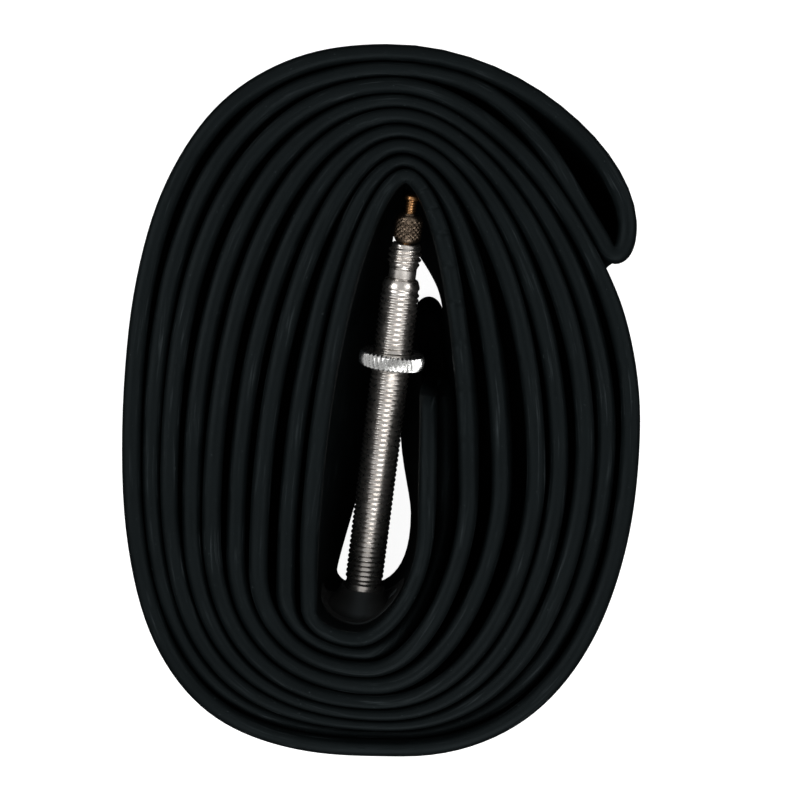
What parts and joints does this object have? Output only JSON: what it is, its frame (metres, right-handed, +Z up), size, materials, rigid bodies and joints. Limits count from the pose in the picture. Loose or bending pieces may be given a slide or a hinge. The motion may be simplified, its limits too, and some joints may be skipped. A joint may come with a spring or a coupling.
{
  "type": "bicycle inner tube",
  "caption": "Butyl bicycle inner tube, pressed flat and rolled into an oval coil, with a long threaded valve, a knurled rim nut and a small lock nut.",
  "frame": {"origin": "middle of the roll, on the surface that it lies on", "axes": "+Z up through the roll, +Y along its long side towards the valve's tip, +X across"},
  "size_m": [0.0772, 0.1066, 0.028],
  "materials": {
    "butyl_rubber": "satin",
    "boot_rubber": "satin",
    "nickel_plate": "satin",
    "bright_nickel": "polished",
    "dark_bronze": "satin",
    "brass": "satin",
    "seal_rubber": "matte"
  },
  "bodies": {
    "tube": {"tube_body": "butyl_rubber", "valve_base": "boot_rubber", "valve_stem": "nickel_plate", "core_body": "nickel_plate", "core_seal": "seal_rubber"},
    "rim_nut": {"rim_nut": "bright_nickel"},
    "thumb_nut": {"thumb_nut": "dark_bronze"},
    "core_pin": {"core_pin": "brass", "plunger_seal": "seal_rubber"}
  },
  "joints": [
    {"name": "rim_nut_slide", "type": "slide", "parent": "tube", "child": "rim_nut", "axis": [0.1238, 0.9665, 0.225], "range_m": [-0.034, 0.01]},
    {"name": "thumb_nut_slide", "type": "slide", "parent": "tube", "child": "thumb_nut", "axis": [0.1238, 0.9665, 0.225], "range_m": [0, 0.00095]},
    {"name": "core_pin_slide", "type": "slide", "parent": "tube", "child": "core_pin", "axis": [0.1238, 0.9665, 0.225], "range_m": [-0.00095, 0]}
  ]
}
